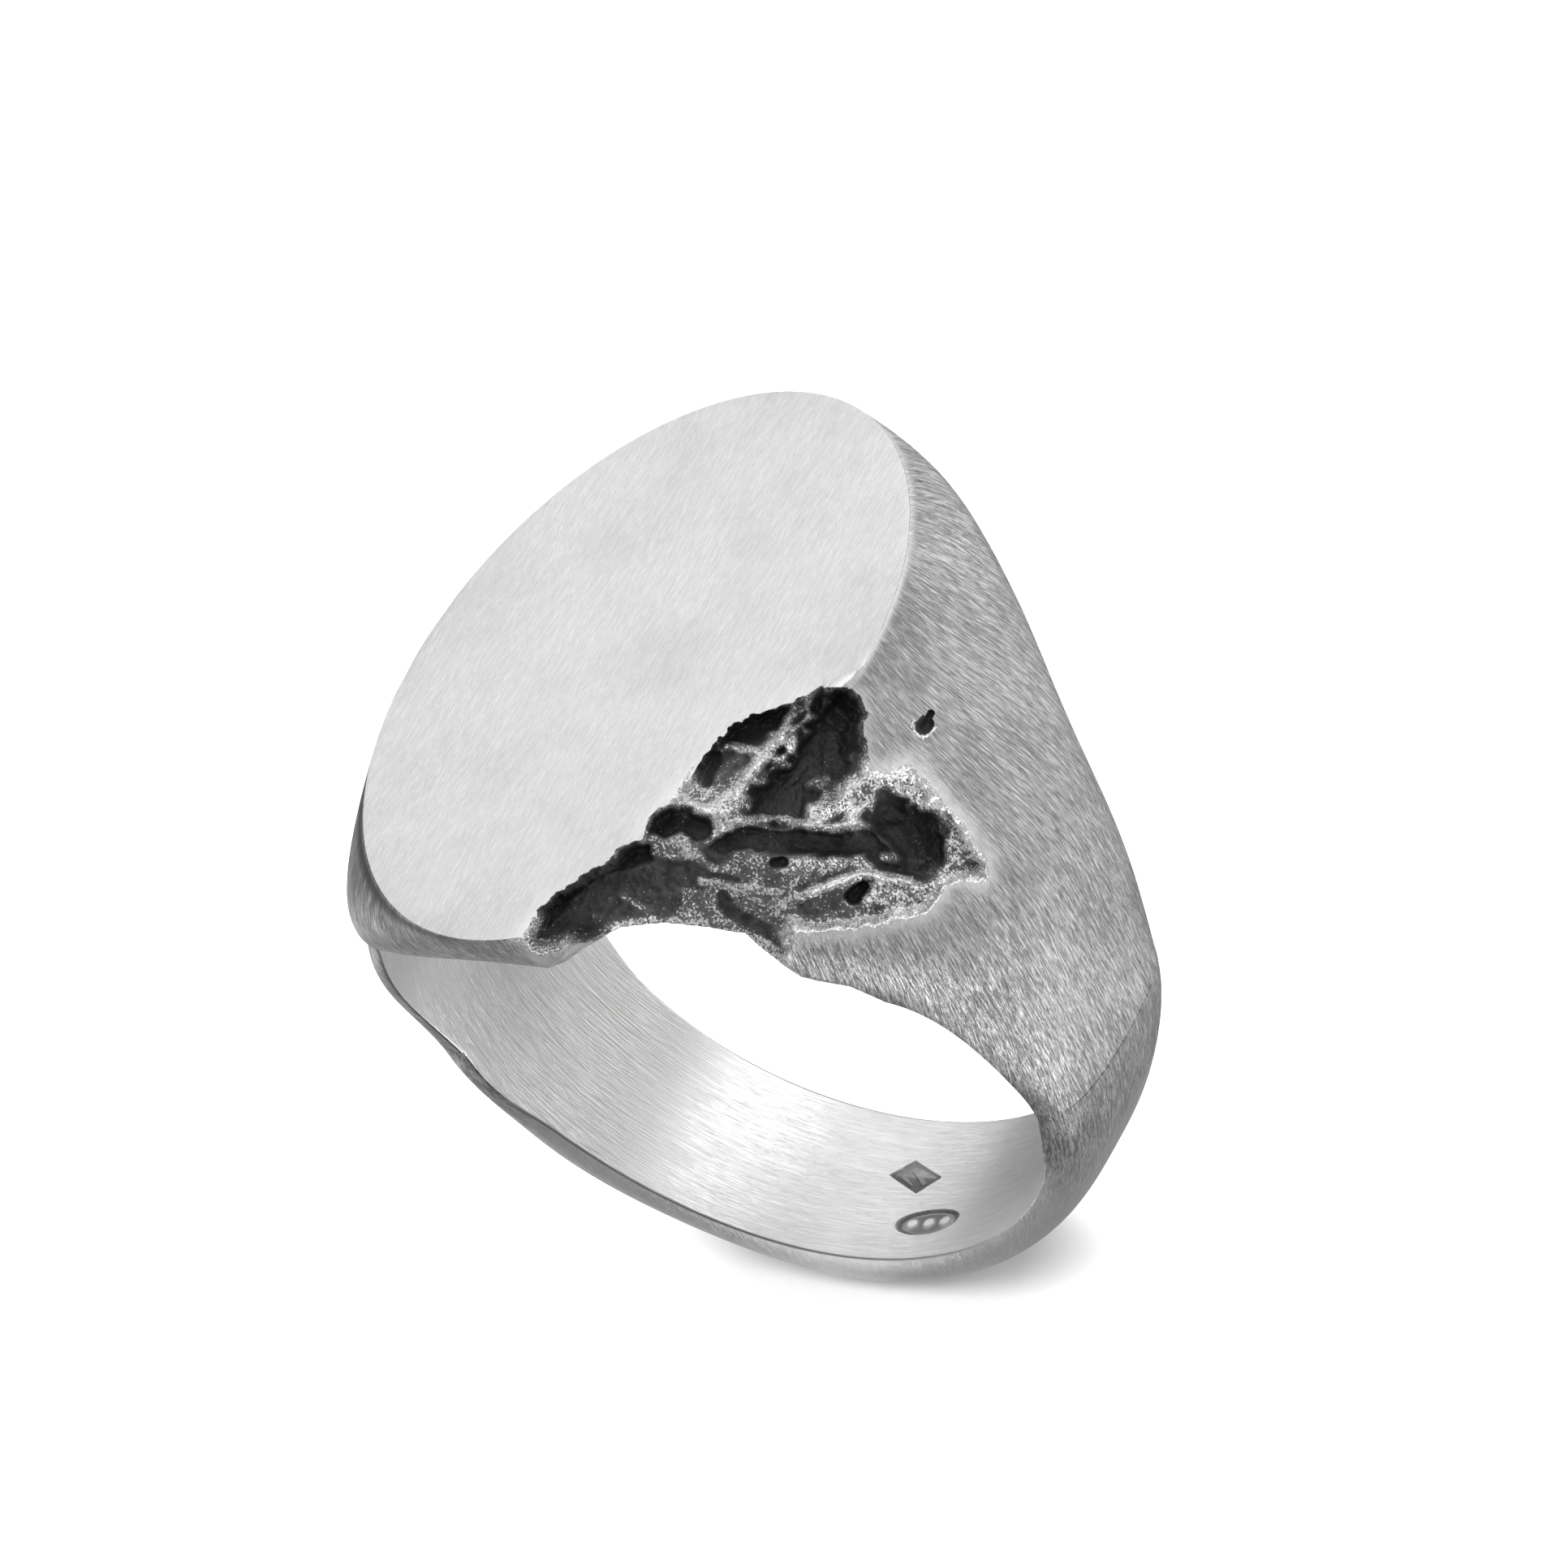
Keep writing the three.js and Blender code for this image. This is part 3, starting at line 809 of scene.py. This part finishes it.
def strokeCoordinates(tree, direction):
    # object coordinates stretched along the strokes, which run along the finger, down the head's
    # flanks from its table, or round the bore
    place = addNode(tree, "ShaderNodeTexCoord").outputs["Object"]
    if direction == "alongFinger":
        mapping = addNode(tree, "ShaderNodeMapping", vector_type="POINT")
        mapping.inputs["Rotation"].default_value = (0, 0, math.radians(2.5))
        mapping.inputs["Scale"].default_value = (1, 0.10, 1)
        tree.links.new(place, mapping.inputs["Vector"])
        return place, mapping.outputs[0]
    split = addNode(tree, "ShaderNodeSeparateXYZ")
    tree.links.new(place, split.inputs[0])
    x, y = split.outputs["X"], split.outputs["Y"]
    z = minus(tree, split.outputs["Z"], boreHeight * mm)
    across, other = (x, y) if direction == "downFlank" else (x, z)
    length = mathNode(tree, "SQRT", plus(tree, times(tree, across, across), times(tree, other, other)))
    reach = 0.009 if direction == "downFlank" else 0.0004
    turnedAcross = times(tree, mathNode(tree, "DIVIDE", across, length), reach)
    turnedOther = times(tree, mathNode(tree, "DIVIDE", other, length), reach)
    if direction == "downFlank":
        parts = (turnedAcross, turnedOther, times(tree, z, 0.08))
    else:
        parts = (turnedAcross, y, turnedOther)
    joined = addNode(tree, "ShaderNodeCombineXYZ")
    for index, part in enumerate(parts):
        tree.links.new(part, joined.inputs[index])
    return place, joined.outputs[0]


def newFinish(name):
    finish = bpy.data.materials.new(name)
    finish.use_nodes = True
    return finish, finish.node_tree, finish.node_tree.nodes["Principled BSDF"]


def brushedSilver(name, direction, roughness, strokeScale, strokeDepth, streakShade=0.35, wearAndSheen=False):
    # silver under the strokes of an abrasive, bright where its points carry wear and painted highlights, and
    # darkened where they carry painted shade
    finish, tree, shader = newFinish(name)
    shader.inputs["Metallic"].default_value = 1.0
    place, strokes = strokeCoordinates(tree, direction)
    grain = addNode(tree, "ShaderNodeGroup", node_tree=abrasiveStrokes)
    tree.links.new(strokes, grain.inputs["Strokes"])
    tree.links.new(place, grain.inputs["Place"])
    grain.inputs["Stroke Scale"].default_value = strokeScale
    grain.inputs["Cloud Scale"].default_value = 380.0
    cloud = grain.outputs["Cloud"]
    cloudy = times(tree, minus(tree, cloud, 0.45), streakShade)
    shade = times(tree, minus(tree, 1.0, grain.outputs["Streak"]), streakShade)
    shade = plus(tree, shade, mathNode(tree, "MAXIMUM", cloudy, 0.0))
    rough = plus(tree, roughness - 0.05, times(tree, cloud, 0.16))
    if wearAndSheen:
        # wear and painted highlights: lighter strokes and smoother metal
        wornAndSheen = pointValue(tree, "wearAndSheen")
        shade = times(tree, shade, minus(tree, 1.0, wornAndSheen))
        rough = minus(tree, rough, times(tree, wornAndSheen, 0.12))
    colour = mixColours(tree, shade, finishes["silver"], finishes["silverShade"])
    # painted shade, mixed in towards a dark grey
    colour = mixColours(tree, pointValue(tree, "paintedShade"), colour, finishes["paintedShade"])
    tree.links.new(colour, shader.inputs["Base Color"])
    tree.links.new(rough, shader.inputs["Roughness"])
    addBump(tree, shader, grain.outputs["Height"], strokeDepth)
    return finish


def blackenedSilver(name):
    # rough cast metal: black where it is recessed, bare bright grains where it is rubbed
    finish, tree, shader = newFinish(name)
    place = addNode(tree, "ShaderNodeTexCoord").outputs["Object"]
    shine = pointValue(tree, "shine")
    grains = noiseNode(tree, place, 12500.0, 2.0, 0.65)
    patches = noiseNode(tree, place, 2500.0, 2.0, 0.5)
    grainField = plus(tree, times(tree, grains, 0.8), times(tree, patches, 0.2))
    bare = addNode(tree, "ShaderNodeMapRange", clamp=True)
    bare.inputs["From Min"].default_value = -0.02
    bare.inputs["From Max"].default_value = 0.07
    threshold = minus(tree, 0.70, times(tree, shine, 0.32))
    tree.links.new(minus(tree, grainField, threshold), bare.inputs["Value"])
    bareness = bare.outputs[0]
    greyness = times(tree, shine, times(tree, grainField, 2.0))
    oxide = mixColours(tree, greyness, finishes["tarnish"], finishes["greyOxide"])
    tree.links.new(mixColours(tree, bareness, oxide, finishes["bareGrain"]), shader.inputs["Base Color"])
    tree.links.new(bareness, shader.inputs["Metallic"])
    rough = minus(tree, finishes["biteRoughness"] + 0.1, times(tree, bareness, 0.25))
    tree.links.new(rough, shader.inputs["Roughness"])
    addBump(tree, shader, grains, 0.00004)
    return finish


tableSilver = brushedSilver("tableSilver", "alongFinger", finishes["tableRoughness"], 17000.0, 0.000011,
                            0.22, wearAndSheen=True)
flankSilver = brushedSilver("flankSilver", "downFlank", finishes["flankRoughness"], 21000.0, 0.000028,
                            1.0, wearAndSheen=True)
boreSilver = brushedSilver("boreSilver", "roundBore", finishes["boreRoughness"], 12000.0, 0.000010, 0.15)
biteSilver = blackenedSilver("biteSilver")
solderSilver = brushedSilver("solderSilver", "downFlank", finishes["flankRoughness"], 21000.0, 0.000028, 1.0)
grainSilver = brushedSilver("grainSilver", "alongFinger", finishes["grainRoughness"], 9000.0, 0.000004, 0.10)


studio = {
    "worldLight": 0.25,
    "floorShade": 0.92,
    "floorLight": 4.0,
    # soft boxes: direction from the ring, side over distance, brightness
    "boxes": {
        "keyBox": ((-0.50, 0.57, 0.66), 0.9, 0.82),
        "crownBox": ((0.28, 0.54, 0.79), 0.6, 2.3),
        "backRightBox": ((0.38, 0.92, 0.0), 0.7, 1.75),
        "lowRightBox": ((0.84, -0.12, -0.54), 0.65, 3.6),
        "lowBackBox": ((0.4, 0.65, -0.65), 0.6, 0.25),
        "leftBox": ((-0.90, -0.02, -0.42), 0.6, 1.0),
        "lowLeftBox": ((-0.65, 0.25, -0.72), 0.4, 0.5),
        "faceBox": ((0.55, -0.45, 0.70), 0.7, 0.8),
    },
    "boxDistance": 0.5,
    "floorReach": 0.35,
}


def makeFloor():
    reach = studio["floorReach"]
    ground = float(shankLow[2]) * mm
    data = bpy.data.meshes.new("floor")
    corners = [(x * reach, y * reach, ground) for x, y in ((-1, -1), (1, -1), (1, 1), (-1, 1))]
    data.from_pydata(corners, [], [(0, 1, 2, 3)])
    floor = placeObject("floor", data)
    finish, _, shader = newFinish("paleFloor")
    shade = studio["floorShade"]
    shader.inputs["Base Color"].default_value = (shade, shade, shade, 1)
    shader.inputs["Roughness"].default_value = 0.6
    shader.inputs["Specular IOR Level"].default_value = 0.0
    data.materials.append(finish)
    floor.visible_glossy = False
    floor.visible_shadow = False


def makeBackdrop():
    # white behind the floor, and a weak even light on everything
    world = bpy.data.worlds.new("studioLight")
    bpy.context.scene.world = world
    world.use_nodes = True
    tree = world.node_tree
    level = studio["worldLight"]
    seen = addNode(tree, "ShaderNodeLightPath").outputs["Is Camera Ray"]
    backdrop = mixColours(tree, seen, (level, level, level, 1), (1, 1, 1, 1))
    tree.links.new(backdrop, tree.nodes["Background"].inputs["Color"])


def makeSoftBoxes():
    # the lamp for the floor is left out of the metal's reflections
    centre = Vector((0, 0, boreHeight * mm))
    distance = studio["boxDistance"]
    boxes = dict(studio["boxes"], floorLamp=((0, 0, 1), 2.0, studio["floorLight"]))
    for name, (direction, spread, brightness) in boxes.items():
        side = spread * distance
        lamp = bpy.data.lights.new(name, "AREA")
        lamp.shape = "SQUARE"
        lamp.size = side
        lamp.energy = math.pi * side * side * brightness
        box = placeObject(name, lamp)
        away = Vector(direction).normalized()
        turn = away.to_track_quat("Z", "Y").to_matrix().to_4x4()
        box.matrix_world = Matrix.Translation(centre + away * distance) @ turn
        box.visible_glossy = name != "floorLamp"


makeFloor()
makeBackdrop()
makeSoftBoxes()
bpy.context.scene.view_settings.view_transform = "Standard"


def sampleGrid(field, x, y, right, up):
    step = bite["step"]
    u = np.clip((x - right[0]) / step, 0, len(right) - 1.001)
    v = np.clip((y - up[0]) / step, 0, len(up) - 1.001)
    i, j = u.astype(int), v.astype(int)
    a, b = u - i, v - j
    return ((field[i, j] * (1 - a) + field[i + 1, j] * a) * (1 - b)
            + (field[i, j + 1] * (1 - a) + field[i + 1, j + 1] * a) * b)


def faced(points):
    # places in the plane that faces the viewer: right, up, height
    local = points - np.array([0, 0, boreHeight])
    return local @ faceRight, local @ faceUp, local @ faceBack


def withinGrid(x, y, right, up):
    return (x > right[0]) & (x < right[-1]) & (y > up[0]) & (y < up[-1])


def pointsOf(data):
    points = np.empty(len(data.vertices) * 3)
    data.vertices.foreach_get("co", points)
    return points.reshape(-1, 3)


def storeValues(data, values):
    for label, numbers in values.items():
        attribute = data.attributes.new(label, "FLOAT", "POINT")
        attribute.data.foreach_set("value", numbers.astype(np.float32))


def paintedEdgeShade(points):
    # painted shade along the softened edges of the bore, darkest on the left
    radius = np.hypot(points[:, 0], points[:, 2] - boreHeight) - band["boreRadius"]
    onEdge = (radius > 0.1 * band["edgeRadius"]) & (radius < 0.8 * band["edgeRadius"])
    return np.where(onEdge, 0.75 * smoothStep(4.0, -4.0, points[:, 0]), 0)


def finishHead(piece, right, up, height, shine, edge):
    storeHeadValues(piece.data, right, up, height, shine, edge)
    chooseHeadFinishes(piece.data, right, up, height, edge)
    piece.data.shade_smooth()
    sharpenEdges(piece.data, 0.7, apart=3)


def storeHeadValues(data, right, up, height, shine, edge):
    # each point's brightness in the bite, its wear with painted highlights, and its painted shade
    points = pointsOf(data)
    x, y, h = faced(points)
    inGrid = withinGrid(x, y, right, up)
    cut = inGrid & (np.abs(h - sampleGrid(height, x, y, right, up)) < 0.03)
    brightness = np.where(cut, sampleGrid(shine, x, y, right, up), 1)
    loop = bite["outline"] + bite["outline"][:1]
    along = pathDistance(x, y, loop)[1]
    # the bite edge's brightness, partly wear and partly a painted highlight, also brightens the old surface
    # just outside the edge
    glow = np.interp(along, np.arange(len(loop)), [p[3] for p in loop])
    edgeGap = np.minimum(sampleGrid(edge, x, y, right, up), 0)
    wearAndSheen = np.where(inGrid, hill(edgeGap, 0, 0.3) * glow, 0)
    below = headHigh[2] - points[:, 2]
    # wear along the table's rim, made stronger towards the right as a painted highlight
    rimWearAndHighlight = hill(below, 0, 0.13) * smoothStep(0.0, 4.0, points[:, 0]) * (below > 0.01)
    # painted shade in a band just under the table's rim, on the front left
    frontLeft = smoothStep(1.0, -2.5, points[:, 0]) * smoothStep(0.5, -2.0, points[:, 1])
    paintedRimShade = 0.8 * smoothStep(0.03, 0.12, below) * smoothStep(0.42, 0.16, below) * frontLeft
    storeValues(data, {"shine": brightness, "wearAndSheen": np.maximum(wearAndSheen, rimWearAndHighlight),
                       "paintedShade": np.maximum(paintedRimShade, paintedEdgeShade(points))})


def chooseHeadFinishes(data, right, up, height, edge):
    # 0 table, 1 flank, 2 bore, 3 bite
    centres = np.empty(len(data.polygons) * 3)
    normals = np.empty(len(data.polygons) * 3)
    data.polygons.foreach_get("center", centres)
    data.polygons.foreach_get("normal", normals)
    centres, normals = centres.reshape(-1, 3), normals.reshape(-1, 3)
    x, y, h = faced(centres)
    rough = sampleGrid(edge, x, y, right, up) > 0
    for name, reach in (("castingPit", bite["pitRim"]), ("castingPitTail", 1.1)):
        path, halfWidth = bite[name][:2]
        rough |= pathDistance(x, y, path)[0] < halfWidth * reach
    onCut = withinGrid(x, y, right, up) & (np.abs(h - sampleGrid(height, x, y, right, up)) < 0.02)
    radius = np.hypot(centres[:, 0], centres[:, 2] - boreHeight)
    inward = -(normals[:, 0] * centres[:, 0] + normals[:, 2] * (centres[:, 2] - boreHeight)) / radius
    kind = np.ones(len(centres), int)
    kind[(radius < band["boreRadius"] + 0.05) & (inward > 0.7)] = 2
    kind[(centres[:, 2] > headHigh[2] - 0.03) & (normals[:, 2] > 0.98)] = 0
    kind[onCut & rough] = 3
    data.materials.clear()
    for finish in (tableSilver, flankSilver, boreSilver, biteSilver):
        data.materials.append(finish)
    data.polygons.foreach_set("material_index", kind)


def sharpenEdges(data, steepest, apart=None):
    # creases every edge steeper than an angle, and every edge between a finish and the others
    mesh = bmesh.new()
    mesh.from_mesh(data)
    for e in mesh.edges:
        if len(e.link_faces) == 2:
            a, b = e.link_faces
            within = a.material_index == apart and b.material_index == apart
            differ = (a.material_index == apart) != (b.material_index == apart)
            if differ or (not within and a.normal.angle(b.normal, 0) > steepest):
                e.smooth = False
    mesh.to_mesh(data)
    mesh.free()


def finishBand(piece, outside):
    data = piece.data
    data.materials.clear()
    for finish in (outside, boreSilver):
        data.materials.append(finish)
    for face in data.polygons:
        centre, normal = face.center, face.normal
        radius = math.hypot(centre.x, centre.z - boreHeight)
        inward = -(normal.x * centre.x + normal.z * (centre.z - boreHeight)) / max(radius, 1e-6)
        face.material_index = 1 if radius < band["boreRadius"] + 0.02 and inward > 0.7 else 0
    data.shade_smooth()
    sharpenEdges(data, 0.7)


def finishMarks(piece):
    # puts painted shade into the deeper parts of the punched marks, kept off the lozenge's upper part, and
    # lets the head's strokes fade out down the band
    points = pointsOf(piece.data)
    around = np.arctan2(points[:, 0], boreHeight - points[:, 2]) * band["boreRadius"]
    sunk = np.hypot(points[:, 0], points[:, 2] - boreHeight) - band["boreRadius"]
    inMark = (markDepth(around, points[:, 1]) > -0.01) & (sunk > 0) & (sunk < 0.2)
    # painted shade, deeper in the marks and kept off the lozenge's upper part
    shade = 0.6 * smoothStep(0.02, 0.09, sunk) * smoothStep(0.6, 0.5, points[:, 1])
    angle = np.degrees(np.abs(around) / band["boreRadius"])
    storeValues(piece.data, {"paintedShade": np.where(inMark, shade, paintedEdgeShade(points)),
                             "wearAndSheen": 0.8 * smoothStep(74, 50, angle)})


# Bare grains on the rough metal, in metres
grains = {
    "spacing": 0.000085,
    "smallest": 0.000018,
    "largest": 0.000040,
    "density": 260.0e6,           # of the brightest places, for each square metre
    "bareFrom": 0.45,             # brightness from which grains stand out
    "seed": 5,
}


def grainTree():
    # grains on the faces with the rough finish, closer together where the metal is brighter
    tree = bpy.data.node_groups.new("bareGrains", "GeometryNodeTree")
    tree.interface.new_socket(name="Geometry", in_out="INPUT", socket_type="NodeSocketGeometry")
    for label in ("Spacing", "Smallest", "Largest", "Density", "Bare From"):
        tree.interface.new_socket(name=label, in_out="INPUT", socket_type="NodeSocketFloat")
    tree.interface.new_socket(name="Seed", in_out="INPUT", socket_type="NodeSocketInt")
    tree.interface.new_socket(name="Rough Finish", in_out="INPUT", socket_type="NodeSocketMaterial")
    tree.interface.new_socket(name="Grain Finish", in_out="INPUT", socket_type="NodeSocketMaterial")
    tree.interface.new_socket(name="Geometry", in_out="OUTPUT", socket_type="NodeSocketGeometry")
    start, end = tree.nodes.new("NodeGroupInput"), tree.nodes.new("NodeGroupOutput")
    given = start.outputs
    shine = addNode(tree, "GeometryNodeInputNamedAttribute", data_type="FLOAT")
    shine.inputs["Name"].default_value = "shine"
    bright = addNode(tree, "ShaderNodeMapRange", clamp=True)
    chosen = addNode(tree, "GeometryNodeMaterialSelection")
    scatter = addNode(tree, "GeometryNodeDistributePointsOnFaces", distribute_method="POISSON")
    ball = addNode(tree, "GeometryNodeMeshIcoSphere")
    ball.inputs["Radius"].default_value = 1.0
    ball.inputs["Subdivisions"].default_value = 1
    size = addNode(tree, "FunctionNodeRandomValue", data_type="FLOAT")
    turn = addNode(tree, "FunctionNodeRandomValue", data_type="FLOAT_VECTOR")
    turn.inputs["Max"].default_value = (math.tau, math.tau, math.tau)
    place = addNode(tree, "GeometryNodeInstanceOnPoints")
    real = addNode(tree, "GeometryNodeRealizeInstances")
    finish = addNode(tree, "GeometryNodeSetMaterial")
    for output, socket in (
            (shine.outputs["Attribute"], bright.inputs["Value"]),
            (given["Bare From"], bright.inputs["From Min"]),
            (given["Rough Finish"], chosen.inputs["Material"]),
            (given["Geometry"], scatter.inputs["Mesh"]),
            (chosen.outputs["Selection"], scatter.inputs["Selection"]),
            (given["Spacing"], scatter.inputs["Distance Min"]),
            (given["Density"], scatter.inputs["Density Max"]),
            (bright.outputs[0], scatter.inputs["Density Factor"]),
            (given["Seed"], scatter.inputs["Seed"]),
            (given["Smallest"], size.inputs["Min"]),
            (given["Largest"], size.inputs["Max"]),
            (given["Seed"], size.inputs["Seed"]),
            (given["Seed"], turn.inputs["Seed"]),
            (scatter.outputs["Points"], place.inputs["Points"]),
            (ball.outputs["Mesh"], place.inputs["Instance"]),
            (turn.outputs["Value"], place.inputs["Rotation"]),
            (size.outputs[1], place.inputs["Scale"]),
            (place.outputs["Instances"], real.inputs["Geometry"]),
            (real.outputs["Geometry"], finish.inputs["Geometry"]),
            (given["Grain Finish"], finish.inputs["Material"]),
            (finish.outputs["Geometry"], end.inputs["Geometry"])):
        tree.links.new(output, socket)
    return tree


def makeGrains(piece):
    # the piece must be in metres already
    source = placeObject("bite_grains", piece.data.copy())
    modifier = source.modifiers.new("grains", "NODES")
    tree = grainTree()
    modifier.node_group = tree
    values = {"Spacing": grains["spacing"], "Smallest": grains["smallest"], "Largest": grains["largest"],
              "Density": grains["density"], "Bare From": grains["bareFrom"], "Seed": grains["seed"],
              "Rough Finish": biteSilver, "Grain Finish": grainSilver}
    for socket in tree.interface.items_tree:
        if socket.in_out == "INPUT" and socket.name in values:
            modifier[socket.identifier] = values[socket.name]
    settle(source, modifier)
    return source


def toMetres(piece):
    piece.data.transform(Matrix.Scale(mm, 4))


print("making the head")
signetHead = makeHeadBlank()
signetHead.name = "signet_head_metal"
right, up, height, shine, edge = biteSurface(signetHead)
cutAway(signetHead, makeBiteCutter(right, up, height))
finishHead(signetHead, right, up, height, shine, edge)
print("head:", len(signetHead.data.polygons), "faces")
shank = makeBandPiece("shank_bow", -band["seamAngle"], band["seamAngle"], 241)
cutAway(shank, makeMarkCutter())
finishBand(shank, flankSilver)
finishMarks(shank)
gapAngle = math.degrees(band["solderWidth"] / band["boreRadius"])
seamLeft = makeBandPiece("solder_left", -band["seamAngle"] - gapAngle, -band["seamAngle"], 5)
seamRight = makeBandPiece("solder_right", band["seamAngle"], band["seamAngle"] + gapAngle, 5)
finishBand(seamLeft, solderSilver)
finishBand(seamRight, solderSilver)
print("band and solder joints made")

for piece, node, slotName in (
        (signetHead, "signet_head", "head_silver"),
        (shank, "shank", "shank_silver"),
        (seamLeft, "solder_seam_left", "solder"),
        (seamRight, "solder_seam_right", "solder")):
    toMetres(piece)
    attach(piece, "root")
    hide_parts(node)

print("scattering bare grains over the rough metal")
biteGrains = makeGrains(signetHead)
print("grains:", len(biteGrains.data.polygons), "faces")
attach(biteGrains, "root")
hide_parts("signet_head")
